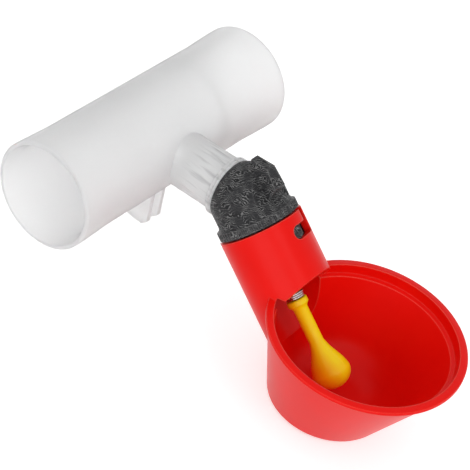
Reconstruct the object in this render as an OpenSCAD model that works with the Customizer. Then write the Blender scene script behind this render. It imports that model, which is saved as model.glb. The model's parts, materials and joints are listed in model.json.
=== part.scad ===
// Drinking cup for poultry: a pipe tee, a valve elbow, a red cup and a yellow trigger.
// Units are millimetres. The origin is the middle of the tee's run, on the pipe's axis.
// X runs along the pipe, Z points up out of the cup's mouth, and the cup hangs towards -Y.

/* [Pipe tee] */
// Outside diameter of the pipe that the tee slides onto
pipe_d = 32; // [25:0.5:34]
// Radial clearance between the pipe and the socket
pipe_clear = 0.2; // [0.05:0.05:0.4]
// Wall of the run
run_wall = 2.3; // [1.8:0.1:3.5]
// Length of the run
run_length = 103; // [90:1:130]
// Depth of each socket, from the mouth to the pipe's stop
socket_depth = 30; // [20:1:34]
// Height of the stop that the pipe's end meets
stop_step = 1.6; // [0.8:0.1:2.2]
// Length of the widened mouth's lead-in
lead_in = 5; // [2:0.5:8]
// How much the lead-in widens the socket, on the radius
lead_in_step = 1.4; // [0.6:0.1:1.6]
// How far the bead round each mouth stands out
bead_height = 0.5; // [0.3:0.1:1.5]
// Width of the bead round each mouth
bead_width = 3.4; // [2:0.2:6]
// Length over which the bead tapers into the run
bead_taper = 12; // [6:1:16]
// Thickness of the two ears under the run
ear_t = 1.8; // [1.2:0.1:2.6]
// Gap between the two ears
ear_gap = 3.6; // [3:0.2:8]
// How far the ears hang below the run
ear_drop = 4.5; // [3:0.1:8]
// How far the ears reach forward from the pipe's axis
ear_reach = 16.6; // [12:0.2:17]
// How far the ears' front edge leans back towards the run
ear_lean = 1; // [0:0.2:2]
// Cut at the front corner of each ear
ear_corner = 2; // [0.6:0.1:3]
// Distance from the branch's axis to the middle of the ears
ear_place = 8.6; // [0:0.2:30]

/* [Branch] */
// Outside diameter of the branch
branch_d = 19.2; // [18:0.2:24]
// Bore of the branch, which takes the elbow's spigot
branch_bore = 15; // [12:0.2:16]
// Distance from the pipe's axis to the elbow's corner
branch_reach = 44; // [38:0.5:60]
// How far the two rolls at the end of the branch stand out
branch_bead = 1; // [0.6:0.1:2]
// Width of each of the two rolls
roll_w = 1.15; // [0.8:0.05:1.8]
// Depth of the groove between the two rolls
roll_groove = 0.45; // [0.2:0.05:0.6]

/* [Valve elbow] */
// Diameter of the elbow's ball and of its barrel
elbow_d = 25.6; // [25:0.2:28]
// Bend of the elbow
elbow_bend = 44; // [30:1:60]
// Distance from the elbow's corner to its face at the branch
elbow_face = 7.6; // [6:0.2:9]
// Distance from the elbow's corner to the cup's collar
elbow_drop = 9; // [8:0.2:12]
// Diameter of the flange over the collar
flange_d = 28.2; // [26.5:0.2:32]
// Thickness of the flange
flange_t = 2.8; // [2:0.1:4]
// Gap between the flange and the collar
flange_gap = 0.6; // [0.3:0.1:1.2]
// Number of fine flutes round the flange
flute_count = 60; // [40:2:72]
// Depth of the flutes
flute_depth = 0.35; // [0.2:0.05:0.6]
// Height of the cone that rises from the flange
cone_rise = 7.2; // [5:0.2:8]
// Diameter of the cone at its top
cone_top_d = 19.6; // [16:0.2:22]
// Depth of the flat on each side of the grip rib, below the elbow's round
flat_depth = 2.5; // [1:0.1:3.2]
// Thickness of the grip rib at its thin end, by the branch
rib_thin = 3.2; // [2:0.1:4.5]
// Thickness of the grip rib at its thick end, by the flange
rib_thick = 5.6; // [3:0.1:6.5]
// Distance of the grip rib's top edge from the branch's axis
rib_top = 17; // [15:0.1:18]
// Distance of the grip rib's back edge from the collar's axis
rib_back = 15.9; // [14.5:0.1:17]
// Bore of the waterway through the elbow
waterway_d = 6; // [4:0.5:8]
// Length of the spigot inside the branch
spigot_length = 16; // [12:0.5:18]
// Radial clearance of the spigot in the branch
spigot_clear = 0.15; // [0.1:0.05:0.3]
// Section of the two O-rings on the spigot
ring_section = 2; // [1.5:0.1:2.4]
// Depth of the plug in the collar
plug_depth = 11; // [9.5:0.5:13]
// Radial clearance of the plug in the collar
plug_clear = 0.3; // [0.2:0.05:0.5]
// Diameter of the two bayonet studs
stud_d = 4; // [3:0.1:4.4]
// Clearance of a stud in its seat, on the radius
stud_clear = 0.4; // [0.2:0.05:0.6]
// How far the studs' ends lie below the collar's outside
stud_short = 0.6; // [0.2:0.1:1.6]
// Turn of the studs and their slots about the collar's axis
stud_place = 2.5; // [-10:0.5:10]
// Depth of the studs' centre below the collar's rim
stud_depth = 6.1; // [5:0.1:8]
// Outside diameter of the nose that holds the seat
nose_d = 17; // [16:0.2:20]
// Depth of the nose below the collar's rim
nose_depth = 15.4; // [15:0.2:18]

/* [Valve] */
// Diameter of the ball-shaped valve head
head_d = 8; // [7:0.1:9]
// Clearance between the head and its seat
seat_clear = 0.1; // [0.05:0.01:0.2]
// Bore of the rubber seat
seat_bore = 5.6; // [5:0.1:6]
// Thickness of the rubber seat
seat_t = 2; // [1.5:0.1:2.6]
// Outside diameter of the rubber seat
seat_d = 13; // [11.5:0.1:13.6]
// Thickness of the plate that the spring bears on
plate_t = 0.8; // [0.6:0.1:1.2]
// Diameter of the stem
stem_d = 2.2; // [1.8:0.1:2.6]
// Length of the stem that is inside the trigger
stem_grip = 9; // [6:0.5:12]
// Outside diameter of the spring's top coil
spring_top_d = 9; // [7.6:0.1:10]
// Outside diameter of the spring's bottom coil
spring_d = 6.4; // [5.6:0.1:7]
// Diameter of the spring's wire
wire_d = 0.7; // [0.5:0.05:0.9]
// Length of the spring as fitted
spring_length = 12; // [9:0.5:15]
// Number of turns in the spring
spring_turns = 8; // [6:1:10]
// Number of those turns that lie close together on the trigger
close_turns = 3; // [1:1:3]

/* [Trigger] */
// Diameter of the trigger's flange
trigger_flange_d = 7.2; // [6.8:0.1:9]
// Thickness of the trigger's flange
trigger_flange_t = 2.8; // [1.5:0.1:3.5]
// Diameter of the trigger's stem
trigger_stem_d = 5; // [4:0.1:6]
// Gap between the trigger's round end and the cup's floor
floor_gap = 2.8; // [2:0.1:6]
// Length of the flare from the stem to the bulb's widest place
trigger_flare = 11.6; // [8:0.2:14]
// Diameter of the bulb
bulb_d = 13.4; // [10:0.2:14]
// Length of the round end below the bulb's widest place
bulb_end = 5.6; // [4:0.2:6.5]

/* [Cup] */
// Outside diameter of the cup's mouth
mouth_d = 67.8; // [62:0.2:76]
// Width of the lip
lip_w = 2.6; // [2:0.1:3.5]
// Height of the lip
lip_h = 1.2; // [0.8:0.1:2.4]
// Depth of the cup, outside
cup_depth = 35.4; // [33:0.2:44]
// Outside diameter of the cup's base
base_d = 40.4; // [34:0.2:48]
// How far the base is set back from the middle of the mouth
base_back = 5.6; // [0:0.2:8]
// Wall of the cup
cup_wall = 2; // [1.4:0.1:3]
// How far the lip stands out past the wall
lip_out = 0.7; // [0.4:0.1:1.5]
// Depth of the step inside the mouth
step_depth = 4; // [2:0.2:8]
// Width of the step inside the mouth
step_w = 0.4; // [0.2:0.1:1]
// Radius of the round between the wall and the floor, inside
floor_round = 9; // [4:0.5:12]
// Radius of the round between the wall and the base, outside
base_round = 2; // [1:0.2:4]
// Angle of the collar from the cup's upright axis
collar_lean = 51; // [45:1:57]
// Outside diameter of the collar
collar_d = 29; // [28:0.2:33]
// Bore of the collar
collar_bore = 24; // [23:0.2:26]
// Distance from the mouth's plane up to the collar's rim, along its axis
collar_rise = 16; // [12:0.5:22]
// Length of the collar along its axis, down to the bowl's back wall
collar_run = 40; // [38:0.5:44]
// Distance from the middle of the mouth back to the collar's axis
collar_back = 37; // [35:0.5:42]
// Where the collar's front edge ends, measured from the collar's rim
collar_front = 21.3; // [19:0.1:24]
// Draft of the cut that ends the collar over the bowl
collar_draft = 17; // [10:1:25]
// Width of the bayonet slots
slot_w = 4.6; // [4:0.1:5.4]
// Turn between a slot's mouth and its round seat
slot_turn = 30; // [24:1:36]

/* [Hidden] */
$fn = 96;
// Overlap that lets a cut pass its face
over = 1;
// The branch is turned about the pipe until the cup's mouth is level
branch_rise = collar_lean + elbow_bend - 90;
socket_r = pipe_d / 2 + pipe_clear;
run_r = socket_r + run_wall;
run_bore_r = socket_r - stop_step;
branch_r = branch_d / 2;
branch_end = branch_reach - elbow_face;
elbow_r = elbow_d / 2;
flange_r = flange_d / 2;
flange_top = flange_gap + flange_t;
// The cone starts just inside the flutes
cone_inset = 0.1;
cone_foot_r = flange_r - flute_depth - cone_inset;
// Where the rib starts on the branch's side, and where its back begins and ends its slope
rib_start = 1.5;
rib_slope_top = 1;
rib_slope_foot = 2;
waterway_r = waterway_d / 2;
// The two waterways differ by this on the radius
cross_step = 0.1;
spigot_r = branch_bore / 2 - spigot_clear;
collar_r = collar_d / 2;
plug_r = collar_bore / 2 - plug_clear;
nose_r = nose_d / 2;
// The rings sit between the bore and the groove's floor with this slack
ring_slack = 0.05;
ring_r = branch_bore / 2 - ring_slack - ring_section / 2;
groove_r = ring_r - ring_section / 2 - ring_slack;
groove_slack = 0.4;
groove_w = ring_section + groove_slack;
ring_places = [0.35, 0.72];
// The seat and the plate fill a recess in the end of the nose
recess_depth = seat_t + plate_t;
recess_clear = 0.05;
recess_r = seat_d / 2 + recess_clear;
seat_top = -nose_depth + recess_depth;
head_r = head_d / 2;
// The head rests on the edge of the seat's bore
head_z = seat_top + sqrt(pow(head_r + seat_clear, 2) - pow(seat_bore / 2, 2));
// Room for the head inside the waterway's chamber
chamber_room = 1.3;
chamber_r = head_r + chamber_room;
chamber_top = head_z + head_r + chamber_room;
stem_fit = 0.04;
// The spring fills the space between the plate and the trigger
trigger_top = -nose_depth - spring_length;
stem_end = trigger_top - stem_grip;
seat_r = stud_d / 2 + stud_clear;
mouth_r = mouth_d / 2;
wall_top_r = mouth_r - lip_out;
floor_depth = cup_depth - cup_wall;
base_r = base_d / 2;
loft_sides = 72;

// Frame at the corner of the elbow
module at_elbow() {
    translate([0, -branch_reach * cos(branch_rise), branch_reach * sin(branch_rise)])
        children();
}

// Frame at the elbow's corner, with Z along the branch towards the pipe
module along_branch() {
    at_elbow() rotate([-90 - branch_rise, 0, 0]) children();
}

// Frame at the middle of the collar's rim, with Z up the collar towards the elbow
module at_rim() {
    at_elbow() rotate([-collar_lean, 0, 0]) translate([0, 0, -elbow_drop]) children();
}

// Frame at the middle of the cup's mouth, for use inside the rim's frame
module at_mouth() {
    translate([0, 0, -collar_rise]) rotate([collar_lean, 0, 0]) translate([0, -collar_back, 0])
        children();
}

// Half of the run's section, from its middle to one mouth: radius, then distance
half_run = [
    [run_r, run_length / 2 - bead_width - bead_taper],
    [run_r + bead_height, run_length / 2 - bead_width],
    [run_r + bead_height, run_length / 2 - bead_height],
    [run_r, run_length / 2],
    [socket_r + lead_in_step, run_length / 2],
    [socket_r, run_length / 2 - lead_in],
    [socket_r, run_length / 2 - socket_depth],
    [run_bore_r, run_length / 2 - socket_depth]
];
function flipped(outline) = [for (i = [len(outline) - 1 : -1 : 0]) [outline[i][0], -outline[i][1]]];

// One ear under the run, in the plane across the pipe; its top is lost in the run
module ear() {
    ear_foot = -run_r - ear_drop;
    rotate([90, 0, 90]) linear_extrude(ear_t) polygon([
        [-ear_reach + ear_lean, -run_r / 2],
        [-ear_reach, ear_foot + ear_corner],
        [-ear_reach + ear_corner, ear_foot],
        [-ear_reach / 2, ear_foot],
        [-ear_reach / 4, -socket_r - run_wall / 2],
        [-ear_reach / 4, -run_r / 2]
    ]);
}

module tee() {
    color([0.93, 0.93, 0.91]) difference() {
        union() {
            rotate([0, 90, 0]) rotate_extrude() polygon(concat(half_run, flipped(half_run)));
            difference() {
                union() {
                    along_branch() translate([0, 0, elbow_face]) rotate_extrude() branch_section();
                    for (side = [-1, 1])
                        translate([-ear_place + side * (ear_gap + ear_t) / 2 - ear_t / 2, 0, 0]) ear();
                }
                rotate([0, 90, 0]) cylinder(r = socket_r + run_wall / 2, h = run_length, center = true);
            }
        }
        along_branch() translate([0, 0, elbow_face - over])
            cylinder(r = branch_bore / 2, h = spigot_length + 2 * over);
        along_branch() cylinder(r = waterway_d / 2 + over, h = branch_reach);
    }
}

// The branch's wall, from the two rolls at its end to the pipe
module branch_section() {
    roll_r = branch_r + branch_bead;
    soft = roll_w / 4;
    polygon([
        [0, 0],
        [roll_r - soft, 0],
        [roll_r, soft],
        [roll_r, roll_w - soft],
        [roll_r - roll_groove, roll_w],
        [roll_r, roll_w + soft],
        [roll_r, 2 * roll_w - soft],
        [roll_r - soft, 2 * roll_w],
        [branch_r, 2 * roll_w + soft],
        [branch_r, branch_end],
        [0, branch_end]
    ]);
}

// A cylinder that stands on Z from one height to another
module post(radius, low, high) {
    translate([0, 0, low]) cylinder(r = radius, h = high - low);
}

module valve_body() {
    color([0.12, 0.12, 0.13]) difference() {
        union() {
            elbow();
            grip_rib();
            at_rim() translate([0, 0, flange_gap]) linear_extrude(flange_t) fluted_disc();
            at_rim() translate([0, 0, flange_top - over / 2])
                cylinder(r1 = cone_foot_r, r2 = cone_top_d / 2, h = cone_rise + over / 2);
            at_rim() post(plug_r, -plug_depth, flange_gap + over);
            at_rim() post(nose_r, -nose_depth, 0);
            at_rim() translate([0, 0, -stud_depth]) rotate([90, 0, stud_place])
                cylinder(r = stud_d / 2, h = 2 * (collar_r - stud_short), center = true);
            along_branch() post(spigot_r, elbow_face - over, elbow_face + spigot_length);
        }
        for (share = ring_places) along_branch() translate([0, 0, elbow_face + share * spigot_length])
            ring_groove();
        along_branch() post(waterway_r, -waterway_r, elbow_face + spigot_length + over);
        at_rim() post(waterway_r - cross_step, chamber_top - over, elbow_drop + waterway_r);
        at_rim() post(chamber_r, seat_top - over, chamber_top);
        at_rim() post(recess_r, -nose_depth - over, seat_top);
    }
}

// A ball on a barrel, with a flat face at the branch and a flat back beside the grip rib
module elbow() {
    big = 2 * elbow_d;
    difference() {
        union() {
            at_elbow() sphere(r = elbow_r);
            at_rim() post(elbow_r, flange_gap, elbow_drop);
        }
        along_branch() post(elbow_d, elbow_face, elbow_face + big);
        at_elbow() rotate([-collar_lean, 0, 0]) translate([-big / 2, -elbow_r + flat_depth - big, -big / 2])
            cube(big);
    }
}

module ring_groove() {
    difference() {
        cylinder(r = spigot_r + over, h = groove_w, center = true);
        cylinder(r = groove_r, h = groove_w + over, center = true);
    }
}

// The flange's edge has fine flutes for grip
module fluted_disc() {
    polygon([for (i = [0 : 2 * flute_count - 1])
        (flange_r - (i % 2) * flute_depth) * [cos(180 * i / flute_count), sin(180 * i / flute_count)]]);
}

// Points beside the branch's axis and the collar's, in the plane across the pipe
function branch_point(along, out) =
    along * [cos(branch_rise), -sin(branch_rise)] + out * [sin(branch_rise), cos(branch_rise)];
function collar_point(along, out) =
    -along * [sin(collar_lean), cos(collar_lean)] + out * [-cos(collar_lean), sin(collar_lean)];
// Where the rib's top and back edges meet, as a length along the collar's axis
rib_corner = -(rib_top - rib_back * cos(elbow_bend)) / sin(elbow_bend);
// Height of the rib's thin end above the elbow's corner, along the collar's axis
rib_height = rib_start * cos(elbow_bend) + rib_top * sin(elbow_bend);

// The grip rib along the back of the bend is a wedge, and its lower end slopes in
module grip_rib() {
    intersection() {
        at_elbow() rotate([90, 0, 90]) linear_extrude(2 * rib_thick, center = true) polygon([
            branch_point(rib_start, 0),
            branch_point(rib_start, rib_top),
            collar_point(rib_corner, rib_back),
            collar_point(-rib_slope_top, rib_back),
            collar_point(rib_slope_foot, elbow_r - flat_depth),
            collar_point(rib_slope_foot, 0)
        ]);
        at_elbow() rotate([-collar_lean + 90, 0, 0]) linear_extrude(2 * rib_back, center = true) polygon([
            [-rib_thin / 2, rib_height],
            [rib_thin / 2, rib_height],
            [rib_thick / 2, -rib_slope_foot],
            [-rib_thick / 2, -rib_slope_foot]
        ]);
    }
}

// A ring shape between two heights
module ring(outer, inner, low, high) {
    difference() {
        post(outer, low, high);
        post(inner, low - over, high + over);
    }
}

module spigot_rings() {
    color([0.08, 0.08, 0.08]) for (share = ring_places)
        along_branch() translate([0, 0, elbow_face + share * spigot_length])
            rotate_extrude() translate([ring_r, 0]) circle(d = ring_section, $fn = 32);
}

module seat_washer() {
    color([0.16, 0.15, 0.15]) at_rim() ring(seat_d / 2, seat_bore / 2, seat_top - seat_t, seat_top);
}

module spring_plate() {
    color([0.75, 0.76, 0.78]) at_rim() ring(seat_d / 2, seat_bore / 2, -nose_depth, seat_top - seat_t);
}

module valve_stem() {
    color([0.78, 0.79, 0.8]) at_rim() {
        translate([0, 0, head_z]) sphere(r = head_r);
        post(stem_d / 2, stem_end, head_z);
    }
}

// The spring's coil: its radius and height fall with the turn, and both ends are closed
wire_sides = 6;
turn_steps = 18;
top_turns = 1;
low_start = spring_turns - close_turns;
coil_steps = spring_turns * turn_steps;
function coil_climb(turn) = min(max((turn - top_turns) / (low_start - top_turns), 0), 1);
function coil_radius(turn) =
    (spring_top_d + (spring_d - spring_top_d) * turn / spring_turns) / 2 - wire_d / 2;
// The wire's centre lies this share of the wire from each end of the spring
end_share = 0.55;
function coil_height(turn) =
    -nose_depth - wire_d * (end_share + min(turn, top_turns) + max(turn - low_start, 0))
    - coil_climb(turn) * (spring_length - wire_d * (2 * end_share + top_turns + close_turns));
function coil_point(step, corner) =
    let (turn = step / turn_steps, around = 360 * turn, over_wire = 360 * corner / wire_sides + 30)
    let (reach = coil_radius(turn) + wire_d / 2 * cos(over_wire))
    [reach * cos(around), reach * sin(around), coil_height(turn) + wire_d / 2 * sin(over_wire)];

module spring() {
    points = [for (step = [0 : coil_steps], corner = [0 : wire_sides - 1]) coil_point(step, corner)];
    walls = [for (step = [0 : coil_steps - 1], corner = [0 : wire_sides - 1])
        let (a = step * wire_sides + corner, b = step * wire_sides + (corner + 1) % wire_sides)
        each [[a, a + wire_sides, b], [b, a + wire_sides, b + wire_sides]]];
    first = [for (corner = [0 : wire_sides - 1]) corner];
    last = [for (corner = [wire_sides - 1 : -1 : 0]) coil_steps * wire_sides + corner];
    color([0.8, 0.81, 0.83]) at_rim() polyhedron(points, concat(walls, [first, last]));
}

// The flare grows from the stem to the bulb with eased ends
flare_steps = 12;
ease_share = 0.35;
function eased(t) = t - ease_share * sin(360 * t) / (2 * PI);
bulb_r = bulb_d / 2;
// How far the bulb reaches down from its widest place, towards the cup's floor
bulb_drop = norm([bulb_end * cos(collar_lean), bulb_r * sin(collar_lean)]);
bulb_place = -collar_rise - (floor_depth - floor_gap - bulb_drop) / cos(collar_lean);
neck_end = bulb_place + trigger_flare;
trigger_stem_r = trigger_stem_d / 2;
trigger_flange_r = trigger_flange_d / 2;
trigger_edge = 0.3;
// The flange's lower side slopes to the stem over this height
trigger_slope = 0.9;
flange_foot = trigger_top - trigger_flange_t;
trigger_outline = concat(
    [[0, trigger_top]],
    [[trigger_flange_r - trigger_edge, trigger_top], [trigger_flange_r, trigger_top - trigger_edge]],
    [[trigger_flange_r, flange_foot + trigger_slope]],
    [[trigger_stem_r + trigger_edge, flange_foot]],
    [[trigger_stem_r, flange_foot - 2 * trigger_edge]],
    [for (i = [0 : flare_steps]) let (t = i / flare_steps)
        [trigger_stem_r + (bulb_r - trigger_stem_r) * eased(t), neck_end - trigger_flare * t]],
    [for (turn = [10 : 10 : 90]) [bulb_r * cos(turn), bulb_place - bulb_end * sin(turn)]]
);

module trigger() {
    color([1, 0.68, 0.05]) at_rim() difference() {
        rotate_extrude() polygon(trigger_outline);
        post(stem_d / 2 + stem_fit, stem_end - stem_fit, trigger_top + over);
    }
}

// A skin through level rings, each given as its height, its radius and its centre's set-back
module loft(rings) {
    last = len(rings) - 1;
    points = [for (ring = rings, i = [0 : loft_sides - 1]) let (turn = 360 * i / loft_sides)
        [ring[1] * cos(turn), ring[2] + ring[1] * sin(turn), ring[0]]];
    walls = [for (k = [0 : last - 1], i = [0 : loft_sides - 1])
        let (a = k * loft_sides + i, b = k * loft_sides + (i + 1) % loft_sides)
        each [[a, b, a + loft_sides], [b, b + loft_sides, a + loft_sides]]];
    top = [for (i = [loft_sides - 1 : -1 : 0]) i];
    bottom = [for (i = [0 : loft_sides - 1]) last * loft_sides + i];
    polyhedron(points, concat(walls, [top, bottom]));
}

// The wall's radius and set-back fall evenly from the lip to the base
function wall_r(depth) = wall_top_r + (base_r - wall_top_r) * depth / cup_depth;
function set_back(depth) = base_back * depth / cup_depth;
round_steps = 6;
outside_rings = concat(
    [[-lip_h / 2, wall_r(0), 0]],
    [for (i = [0 : round_steps]) let (turn = 90 * i / round_steps)
        let (depth = cup_depth - base_round * (1 - sin(turn)))
        [-depth, wall_r(depth) - base_round * (1 - cos(turn)), set_back(depth)]]
);
mouth_draft = 0.1;
inside_rings = concat(
    [[over, mouth_r - lip_w, 0]],
    [[-step_depth, mouth_r - lip_w - mouth_draft, set_back(step_depth)]],
    [[-step_depth - step_w, wall_r(step_depth) - cup_wall, set_back(step_depth)]],
    [for (i = [0 : round_steps]) let (turn = 90 * i / round_steps)
        let (depth = floor_depth - floor_round * (1 - sin(turn)))
        [-depth, wall_r(depth) - cup_wall - floor_round * (1 - cos(turn)), set_back(depth)]]
);

module lip() {
    edge = lip_h / 3;
    foot = -lip_h - edge;
    rotate_extrude() polygon([
        [mouth_r - lip_w - over, 0],
        [mouth_r - edge, 0],
        [mouth_r - edge / 3, -edge / 3],
        [mouth_r, -edge],
        [mouth_r, -lip_h],
        [wall_top_r - edge / 2, foot],
        [mouth_r - lip_w - over, foot]
    ]);
}

// The cut over the bowl that ends the collar's front
module collar_end_cut() {
    big = 3 * collar_d;
    intersection() {
        translate([0, -collar_r, -collar_front]) rotate([collar_lean + collar_draft, 0, 0])
            translate([-big / 2, -big, -big / 2]) cube(big);
        at_mouth() translate([-big / 2, -big, 0]) cube([big, 2 * big, big]);
    }
}

// The slot's mouth goes this much deeper than its run
slot_sink = 0.1;
slot_foot = -stud_depth - slot_w / 2 - slot_sink;

// One bayonet slot: its mouth at the rim, its run round the collar and its round seat
module bayonet_slot() {
    translate([0, 0, -stud_depth]) rotate([90, 0, 0])
        cylinder(r = seat_r, h = collar_r + over);
    translate([0, 0, -stud_depth]) rotate([0, 0, -90]) rotate_extrude(angle = slot_turn)
        translate([collar_bore / 4, -slot_w / 2]) square([collar_r, slot_w]);
    rotate([0, 0, slot_turn - 90]) translate([collar_bore / 4, -slot_w / 2, slot_foot])
        cube([collar_r, slot_w, slot_w - slot_foot]);
}

module cup() {
    color([0.85, 0.05, 0.03]) at_rim() difference() {
        union() {
            at_mouth() loft(outside_rings);
            at_mouth() lip();
            post(collar_r, -collar_run, 0);
        }
        at_mouth() loft(inside_rings);
        collar_end_cut();
        post(collar_bore / 2, -collar_run, over);
        for (side = [0, 180]) rotate([0, 0, side + stud_place]) bayonet_slot();
    }
}

tee();
valve_body();
cup();
trigger();
valve_stem();
spring();
spring_plate();
seat_washer();
spigot_rings();
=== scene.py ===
"""Looks of the poultry drinking cup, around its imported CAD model.

All lengths are in metres, in the CAD's own frame: the origin is the middle of the tee's run,
X runs along the pipe, Z points up out of the cup's mouth, and the cup hangs towards -Y.
"""

import json
import math

import bmesh
import bpy
from mathutils import Matrix, Vector


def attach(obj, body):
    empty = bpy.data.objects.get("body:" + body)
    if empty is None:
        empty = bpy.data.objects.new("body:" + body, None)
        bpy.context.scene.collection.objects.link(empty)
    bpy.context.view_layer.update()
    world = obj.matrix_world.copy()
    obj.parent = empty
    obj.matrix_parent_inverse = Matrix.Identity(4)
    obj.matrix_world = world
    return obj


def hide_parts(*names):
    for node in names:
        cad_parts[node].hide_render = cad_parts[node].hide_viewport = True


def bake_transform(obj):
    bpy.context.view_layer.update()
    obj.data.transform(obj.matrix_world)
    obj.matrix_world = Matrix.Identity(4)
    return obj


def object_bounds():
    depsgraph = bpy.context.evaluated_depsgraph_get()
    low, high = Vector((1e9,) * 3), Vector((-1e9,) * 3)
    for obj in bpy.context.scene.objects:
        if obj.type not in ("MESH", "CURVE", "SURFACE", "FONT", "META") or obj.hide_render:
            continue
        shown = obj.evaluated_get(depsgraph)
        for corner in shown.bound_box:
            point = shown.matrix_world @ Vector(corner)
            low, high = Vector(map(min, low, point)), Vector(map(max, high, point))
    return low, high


MM = 0.001

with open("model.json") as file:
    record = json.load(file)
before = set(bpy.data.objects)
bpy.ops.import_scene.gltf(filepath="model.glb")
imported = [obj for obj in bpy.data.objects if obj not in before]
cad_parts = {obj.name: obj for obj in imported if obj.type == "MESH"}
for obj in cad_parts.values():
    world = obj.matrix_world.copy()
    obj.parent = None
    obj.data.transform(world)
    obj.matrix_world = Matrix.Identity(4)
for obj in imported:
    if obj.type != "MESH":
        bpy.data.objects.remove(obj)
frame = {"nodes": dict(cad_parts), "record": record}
cad_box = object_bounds()
nodes = frame["nodes"]
record = frame["record"]
slot_of = {row["node"]: row["material_slot"] for row in record["subparts"]}
body_of = {name: body for body, held in record["behaviour"]["bodies"].items() for name in held}

# The tee's branch, the elbow and the collar, in the CAD source's sizes
COLLAR_LEAN = math.radians(51)
BRANCH_RISE = math.radians(5)
BRANCH_REACH = 44 * MM
ELBOW_DROP = 9 * MM

# The spring, in the CAD source's sizes, with its diameters measured over the wire
NOSE_DEPTH = 15.4 * MM
SPRING_LENGTH = 12 * MM
SPRING_TOP_D = 9 * MM
SPRING_LOW_D = 6.4 * MM
WIRE_D = 0.7 * MM
TURNS = 8
TOP_CLOSED = 1
LOW_CLOSED = 3
# The wire's centre lies this share of the wire from each end of the spring
END_SHARE = 0.55


# Materials

def new_material(name, **sockets):
    """A material whose shader has these constant sockets, with its tree, shader and coordinates."""
    material = bpy.data.materials.new(name)
    material.use_nodes = True
    tree = material.node_tree
    shader = tree.nodes["Principled BSDF"]
    for socket, value in sockets.items():
        shader.inputs[socket.replace("_", " ")].default_value = value
    place = tree.nodes.new("ShaderNodeTexCoord").outputs["Object"]
    return material, tree, shader, place


def noise(tree, place, scale, detail):
    """A noise pattern; scale is in waves per metre."""
    node = tree.nodes.new("ShaderNodeTexNoise")
    node.inputs["Scale"].default_value = scale
    node.inputs["Detail"].default_value = detail
    tree.links.new(place, node.inputs["Vector"])
    return node.outputs["Fac"]


def stretched(tree, place, size):
    """The coordinates of a pattern that is drawn out by this much along each axis."""
    node = tree.nodes.new("ShaderNodeMapping")
    node.vector_type = "TEXTURE"
    node.inputs["Scale"].default_value = size
    tree.links.new(place, node.inputs["Vector"])
    return node.outputs["Vector"]


def coordinate(tree, place, axis):
    """The coordinate along one axis."""
    node = tree.nodes.new("ShaderNodeSeparateXYZ")
    tree.links.new(place, node.inputs[0])
    return node.outputs[axis]


def ramp(tree, value, first, second):
    """The colour that runs from the first stop to the second, each a position and its colour."""
    node = tree.nodes.new("ShaderNodeValToRGB")
    for element, (position, colour) in zip(node.color_ramp.elements, (first, second)):
        element.position = position
        element.color = (*colour, 1)
    tree.links.new(value, node.inputs["Fac"])
    return node.outputs["Color"]


def span(tree, value, low, high, start=0.0, end=1.0):
    """The value's part from start to end, stretched to run from low to high."""
    node = tree.nodes.new("ShaderNodeMapRange")
    node.inputs["From Min"].default_value = start
    node.inputs["From Max"].default_value = end
    node.inputs["To Min"].default_value = low
    node.inputs["To Max"].default_value = high
    tree.links.new(value, node.inputs["Value"])
    return node.outputs["Result"]


def product(tree, value, factor):
    """The value times a number or another node's output."""
    node = tree.nodes.new("ShaderNodeMath")
    node.operation = "MULTIPLY"
    tree.links.new(value, node.inputs[0])
    if isinstance(factor, bpy.types.NodeSocket):
        tree.links.new(factor, node.inputs[1])
    else:
        node.inputs[1].default_value = factor
    return node.outputs[0]


def blended(tree, share, first, second):
    """Two colours mixed by a share; each is a colour or another node's output."""
    node = tree.nodes.new("ShaderNodeMix")
    node.data_type = "RGBA"
    # The mix node's colours come after its numbers and its vectors
    share_in, first_in, second_in = (node.inputs[place] for place in (0, 6, 7))
    colour_out = node.outputs[2]
    tree.links.new(share, share_in)
    for socket, value in ((first_in, first), (second_in, second)):
        if isinstance(value, bpy.types.NodeSocket):
            tree.links.new(value, socket)
        else:
            socket.default_value = (*value, 1)
    return colour_out


def rounded(tree, radius):
    """The normal of a moulded edge with this radius, and how near to such an edge a point lies."""
    soft = tree.nodes.new("ShaderNodeBevel")
    soft.samples = 6
    soft.inputs["Radius"].default_value = radius
    normal = soft.outputs["Normal"]
    flat = tree.nodes.new("ShaderNodeNewGeometry").outputs["Normal"]
    match = tree.nodes.new("ShaderNodeVectorMath")
    match.operation = "DOT_PRODUCT"
    tree.links.new(normal, match.inputs[0])
    tree.links.new(flat, match.inputs[1])
    hollow = tree.nodes.new("ShaderNodeAmbientOcclusion")
    hollow.samples = 4
    hollow.inputs["Distance"].default_value = 2 * radius
    # The two normals part at an edge, and what lies in a hollow corner is left out
    turned = span(tree, match.outputs["Value"], low=1, high=0, start=0.8, end=0.99)
    proud = span(tree, hollow.outputs["AO"], low=0, high=1, start=0.6, end=0.95)
    return normal, product(tree, turned, proud)


def bumped(tree, shader, height, strength, depth, normal=None):
    """Relief on the shader's normal; depth is the real height of the pattern."""
    node = tree.nodes.new("ShaderNodeBump")
    node.inputs["Strength"].default_value = strength
    node.inputs["Distance"].default_value = depth
    tree.links.new(height, node.inputs["Height"])
    if normal:
        tree.links.new(normal, node.inputs["Normal"])
    tree.links.new(node.outputs["Normal"], shader.inputs["Normal"])


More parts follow.
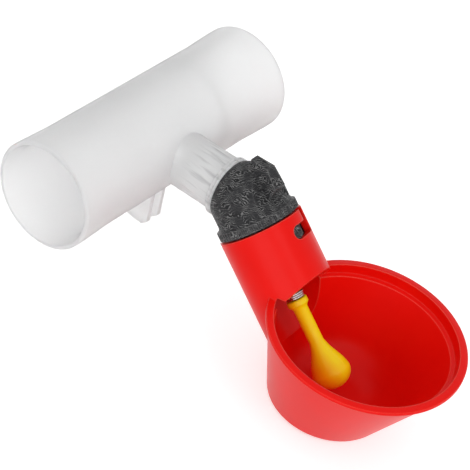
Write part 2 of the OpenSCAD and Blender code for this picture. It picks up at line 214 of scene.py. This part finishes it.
def natural_plastic():
    """Unpigmented polypropylene: milky, slightly clouded, with faint flow marks along the run."""
    material, tree, shader, place = new_material(
        "natural_plastic",
        IOR=1.3,
        Subsurface_Weight=0.6,
        Subsurface_Radius=(1.0, 1.0, 1.0),
        Subsurface_Scale=4 * MM,
    )
    milk = (0.96, 0.962, 0.965)
    thin_milk = (0.99, 0.991, 0.993)
    painted_edge_shade_grey = (0.82, 0.82, 0.83)
    streak_grey = (0.55, 0.55, 0.56)

    normal, edge = rounded(tree, radius=0.5 * MM)
    cloud = noise(tree, place, scale=60, detail=3)
    colour = ramp(tree, cloud, (0.3, milk), (0.7, thin_milk))
    # Painted shade: the hard edges are greyed, standing in for the shading that falls along them
    colour = blended(tree, product(tree, edge, factor=0.4), colour, painted_edge_shade_grey)

    # The branch has grey streaks along it, and lets less light through than the run
    branch = span(tree, coordinate(tree, place, "Y"), low=1, high=0, start=-26 * MM, end=-20 * MM)
    along_branch = stretched(tree, place, (1, 12, 1))
    lines = noise(tree, along_branch, scale=600, detail=3)
    streak = span(tree, lines, low=0, high=0.8, start=0.5, end=0.7)
    colour = blended(tree, product(tree, streak, branch), colour, streak_grey)
    tree.links.new(colour, shader.inputs["Base Color"])
    tree.links.new(span(tree, branch, low=0.5, high=0.35), shader.inputs["Transmission Weight"])

    along_run = stretched(tree, place, (6, 1, 1))
    flow = noise(tree, along_run, scale=500, detail=3)
    tree.links.new(span(tree, flow, low=0.5, high=0.64), shader.inputs["Roughness"])
    bumped(tree, shader, flow, strength=0.12, depth=0.15 * MM, normal=normal)
    return material


def mottled_black():
    """Black plastic with a swirled grey bloom, and a painted highlight that lightens its edges to
    grey.
    """
    material, tree, shader, place = new_material(
        "mottled_black", IOR=1.5, Specular_IOR_Level=0.15,
    )
    plain_black = (0.024, 0.024, 0.026)
    deep_black = (0.012, 0.012, 0.013)
    bloom_grey = (0.2, 0.2, 0.2)
    painted_edge_highlight_grey = (0.22, 0.22, 0.22)

    normal, edge = rounded(tree, radius=0.8 * MM)
    grain = tree.nodes.new("ShaderNodeTexWave")
    grain.bands_direction = "DIAGONAL"
    grain.inputs["Scale"].default_value = 520
    grain.inputs["Distortion"].default_value = 34
    grain.inputs["Detail"].default_value = 4
    grain.inputs["Detail Scale"].default_value = 0.4
    tree.links.new(place, grain.inputs["Vector"])
    swirl = grain.outputs["Fac"]
    bloom = ramp(tree, swirl, (0.55, deep_black), (0.97, bloom_grey))

    patch = noise(tree, place, scale=380, detail=3)
    bloomed = span(tree, patch, low=0.1, high=1, start=0.4, end=0.6)
    colour = blended(tree, bloomed, plain_black, bloom)
    # Painted highlight: the edges are lightened to grey, as where they catch the light
    colour = blended(tree, product(tree, edge, factor=0.6), colour, painted_edge_highlight_grey)
    tree.links.new(colour, shader.inputs["Base Color"])
    sheen = span(tree, swirl, low=0.55, high=0.35, start=0.3, end=0.7)
    tree.links.new(sheen, shader.inputs["Roughness"])
    bumped(tree, shader, swirl, strength=0.3, depth=0.2 * MM, normal=normal)
    return material


def gloss_red():
    """Bright red polypropylene with a moulded gloss, and a painted highlight that makes its edges
    paler.
    """
    material, tree, shader, place = new_material(
        "gloss_red",
        IOR=1.5,
        Specular_IOR_Level=0.13,
        Subsurface_Weight=0.1,
        Subsurface_Radius=(1.0, 0.12, 0.08),
        Subsurface_Scale=2 * MM,
    )
    deep_red = (0.76, 0.003, 0.001)
    bright_red = (0.82, 0.005, 0.002)
    painted_edge_highlight_red = (1.0, 0.17, 0.12)

    normal, edge = rounded(tree, radius=0.7 * MM)
    cloud = noise(tree, place, scale=45, detail=3)
    colour = ramp(tree, cloud, (0.3, deep_red), (0.7, bright_red))
    # Painted highlight: the edges are lightened to a pale red, as where they catch the light
    colour = blended(tree, product(tree, edge, factor=0.6), colour, painted_edge_highlight_red)
    tree.links.new(colour, shader.inputs["Base Color"])
    sheen = noise(tree, place, scale=90, detail=1)
    tree.links.new(span(tree, sheen, low=0.3, high=0.36), shader.inputs["Roughness"])
    skin = noise(tree, place, scale=900, detail=2)
    bumped(tree, shader, skin, strength=0.06, depth=0.1 * MM, normal=normal)
    return material


def warm_yellow():
    """Yellow plastic, with a painted reflection of the cup's red walls that turns the trigger's left
    side more orange.
    """
    material, tree, shader, place = new_material(
        "warm_yellow",
        IOR=1.5,
        Specular_IOR_Level=0.22,
        Subsurface_Weight=0.05,
        Subsurface_Radius=(1.0, 0.45, 0.1),
        Subsurface_Scale=2 * MM,
    )
    egg_yellow = (1.0, 0.68, 0.002)
    light_yellow = (1.0, 0.82, 0.006)
    orange = (1.0, 0.34, 0.001)

    cloud = noise(tree, place, scale=120, detail=2)
    colour = ramp(tree, cloud, (0.3, egg_yellow), (0.7, light_yellow))
    # Painted reflection: the trigger's left side is turned orange, as by red light thrown back from
    # the cup's walls
    across = coordinate(tree, place, "X")
    painted_reflection_share = span(tree, across, low=0.75, high=0, start=-6 * MM, end=-1.5 * MM)
    colour = blended(tree, painted_reflection_share, colour, orange)
    tree.links.new(colour, shader.inputs["Base Color"])
    sheen = noise(tree, place, scale=200, detail=2)
    tree.links.new(span(tree, sheen, low=0.3, high=0.4), shader.inputs["Roughness"])
    skin = noise(tree, place, scale=800, detail=2)
    bumped(tree, shader, skin, strength=0.08, depth=0.1 * MM)
    return material


def bright_steel():
    """Drawn stainless steel with fine draw marks."""
    material, tree, shader, place = new_material("bright_steel", Metallic=1.0)
    dull_steel = (0.52, 0.53, 0.55)
    clean_steel = (0.72, 0.73, 0.74)

    marks = noise(tree, place, scale=3000, detail=4)
    colour = ramp(tree, marks, (0.3, dull_steel), (0.7, clean_steel))
    tree.links.new(colour, shader.inputs["Base Color"])
    tree.links.new(span(tree, marks, low=0.18, high=0.34), shader.inputs["Roughness"])
    bumped(tree, shader, marks, strength=0.1, depth=0.03 * MM)
    return material


def seal_rubber():
    """Matt black seal rubber with a dusty bloom."""
    material, tree, shader, place = new_material("seal_rubber", IOR=1.5)
    rubber_black = (0.02, 0.02, 0.021)
    dust_grey = (0.05, 0.05, 0.05)

    bloom = noise(tree, place, scale=1200, detail=4)
    colour = ramp(tree, bloom, (0.35, rubber_black), (0.7, dust_grey))
    tree.links.new(colour, shader.inputs["Base Color"])
    tree.links.new(span(tree, bloom, low=0.7, high=0.85), shader.inputs["Roughness"])
    bumped(tree, shader, bloom, strength=0.2, depth=0.05 * MM)
    return material


# Pieces

def collar_rim():
    """The frame at the middle of the collar's rim, with Z up the collar, as in the CAD source."""
    elbow_corner = Vector((
        0,
        -BRANCH_REACH * math.cos(BRANCH_RISE),
        BRANCH_REACH * math.sin(BRANCH_RISE),
    ))
    return (
        Matrix.Translation(elbow_corner)
        @ Matrix.Rotation(-COLLAR_LEAN, 4, "X")
        @ Matrix.Translation((0, 0, -ELBOW_DROP))
    )


def standing(name, mesh, material):
    """An object from a bmesh that is already in place."""
    data = bpy.data.meshes.new(name)
    mesh.to_mesh(data)
    mesh.free()
    data.materials.append(material)
    piece = bpy.data.objects.new(name, data)
    bpy.context.scene.collection.objects.link(piece)
    return piece


def smooth_copy(name):
    """A CAD node's shape with its loose triangles merged, and smooth but for its hard edges."""
    same_point = 0.001 * MM
    same_plane = math.radians(0.5)
    hard_edge = math.radians(30)
    mesh = bmesh.new()
    mesh.from_mesh(nodes[name].data)
    bmesh.ops.remove_doubles(mesh, verts=mesh.verts, dist=same_point)
    bmesh.ops.dissolve_limit(
        mesh, angle_limit=same_plane, verts=mesh.verts, edges=mesh.edges, delimit=set()
    )
    for face in mesh.faces:
        face.smooth = True
    for edge in mesh.edges:
        edge.smooth = not (edge.is_manifold and edge.calc_face_angle() > hard_edge)
    return mesh


def spring_coil(rim):
    """The compression spring: closed end turns, most of them on the trigger, and a slight taper."""
    steps = 40
    wire_r = WIRE_D / 2
    top_r = SPRING_TOP_D / 2 - wire_r
    low_r = SPRING_LOW_D / 2 - wire_r
    taper = (low_r - top_r) / (TURNS * steps)
    open_turns = TURNS - TOP_CLOSED - LOW_CLOSED
    open_length = SPRING_LENGTH - WIRE_D * (2 * END_SHARE + TOP_CLOSED + LOW_CLOSED)
    stretches = (
        (TOP_CLOSED, WIRE_D),
        (open_turns, open_length / open_turns),
        (LOW_CLOSED, WIRE_D),
    )

    mesh = bmesh.new()
    ring = bmesh.ops.create_circle(mesh, segments=12, radius=wire_r, cap_ends=False)["verts"]
    upright = Matrix.Rotation(math.pi / 2, 3, "X")
    bmesh.ops.rotate(mesh, verts=ring, cent=(0, 0, 0), matrix=upright)
    first_height = -NOSE_DEPTH - END_SHARE * WIRE_D
    bmesh.ops.translate(mesh, verts=ring, vec=(top_r, 0, first_height))
    section = list(mesh.verts) + list(mesh.edges)
    # The step inwards turns with the spin, and a stretch is whole turns, so it points at the axis
    for turns, pitch in stretches:
        stretch = bmesh.ops.spin(
            mesh,
            geom=section,
            cent=(0, 0, 0),
            axis=(0, 0, 1),
            dvec=(taper, 0, -pitch / steps),
            angle=2 * math.pi * turns,
            steps=steps * turns,
            use_duplicate=False,
        )
        section = stretch["geom_last"]
    bmesh.ops.holes_fill(mesh, edges=mesh.edges, sides=0)
    bmesh.ops.recalc_face_normals(mesh, faces=mesh.faces)
    mesh.transform(rim)
    for face in mesh.faces:
        end_cap = len(face.verts) > 4
        face.smooth = not end_cap
    return mesh


finishes = {
    "natural_plastic": natural_plastic(),
    "black_plastic": mottled_black(),
    "red_plastic": gloss_red(),
    "yellow_plastic": warm_yellow(),
    "steel": bright_steel(),
    "rubber": seal_rubber(),
}
for name, solid in nodes.items():
    solid.data.materials.clear()
    solid.data.materials.append(finishes[slot_of[name]])

rim = collar_rim()
coil = standing("spring_coil", spring_coil(rim), finishes[slot_of["spring"]])
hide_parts("spring")
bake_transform(coil)

for name in ("cup", "valve_body", "tee", "trigger"):
    moulding = standing(name + "_moulding", smooth_copy(name), finishes[slot_of[name]])
    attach(moulding, body_of[name])
    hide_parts(name)


# Stage, light and camera

def seen_share(tree):
    """One for rays from the camera, a reflection or a clear material, and nought for plain light."""
    path = tree.nodes.new("ShaderNodeLightPath")
    share = path.outputs["Is Camera Ray"]
    for ray in ("Is Glossy Ray", "Is Transmission Ray"):
        either = tree.nodes.new("ShaderNodeMath")
        either.operation = "MAXIMUM"
        tree.links.new(share, either.inputs[0])
        tree.links.new(path.outputs[ray], either.inputs[1])
        share = either.outputs[0]
    return share


def pale_floor(glow_level):
    """A floor just under the cup; it adds its own white where it is seen, and keeps the shadow."""
    matt_white = 0.82
    half_width = 3
    gap = 0.5 * MM
    material = bpy.data.materials.new("pale_floor")
    material.use_nodes = True
    tree = material.node_tree
    shader = tree.nodes["Principled BSDF"]
    shader.inputs["Base Color"].default_value = (matt_white, matt_white, matt_white, 1)
    shader.inputs["Roughness"].default_value = 0.9
    glow = tree.nodes.new("ShaderNodeEmission")
    seen_glow = span(tree, seen_share(tree), low=0, high=glow_level)
    tree.links.new(seen_glow, glow.inputs["Strength"])
    both = tree.nodes.new("ShaderNodeAddShader")
    tree.links.new(shader.outputs[0], both.inputs[0])
    tree.links.new(glow.outputs[0], both.inputs[1])
    tree.links.new(both.outputs[0], tree.nodes["Material Output"].inputs["Surface"])

    mesh = bmesh.new()
    bmesh.ops.create_grid(mesh, x_segments=1, y_segments=1, size=half_width)
    bmesh.ops.translate(mesh, verts=mesh.verts, vec=(0, 0, cad_box[0].z - gap))
    standing("floor", mesh, material)


def white_surround(light_level):
    """An even world that lights everything softly, and is white where it is seen."""
    world = bpy.data.worlds.new("surround")
    bpy.context.scene.world = world
    world.use_nodes = True
    tree = world.node_tree
    back = tree.nodes["Background"]
    back.inputs["Color"].default_value = (1, 1, 1, 1)
    strength = span(tree, seen_share(tree), low=light_level, high=1)
    tree.links.new(strength, back.inputs["Strength"])


def soft_lamp(name, place, target, width, power):
    """A square studio lamp that faces a point."""
    data = bpy.data.lights.new(name, "AREA")
    data.shape = "SQUARE"
    data.size = width
    data.energy = power
    lamp = bpy.data.objects.new(name, data)
    bpy.context.scene.collection.objects.link(lamp)
    lamp.location = place
    aim = Vector(target) - Vector(place)
    lamp.rotation_euler = aim.to_track_quat("-Z", "Y").to_euler()


def photo_camera():
    """The camera that the photograph was taken with, found from the ellipses in it."""
    place = Vector((-0.50566, -0.29779, 0.48776))
    right = Vector((0.61674, -0.74894, 0.24231))
    up = Vector((0.41445, 0.57066, 0.70893))
    back = right.cross(up)
    turn = Matrix((right, up, back)).transposed().to_4x4()
    data = bpy.data.cameras.new("camera")
    data.sensor_width = 36
    data.lens = 174.94
    data.clip_start = 0.01
    data.clip_end = 20
    camera = bpy.data.objects.new("camera", data)
    bpy.context.scene.collection.objects.link(camera)
    camera.matrix_world = Matrix.Translation(place) @ turn
    bpy.context.scene.camera = camera


pale_floor(glow_level=0.5)
white_surround(light_level=0.78)
middle = (0, -0.06, -0.015)
soft_lamp("key_lamp", place=(-0.18, -0.65, 0.56), target=middle, width=0.3, power=0.6)
soft_lamp("fill_lamp", place=(-0.6, -0.4, 0.15), target=middle, width=0.6, power=1.8)
photo_camera()
bpy.context.scene.view_settings.view_transform = "Standard"
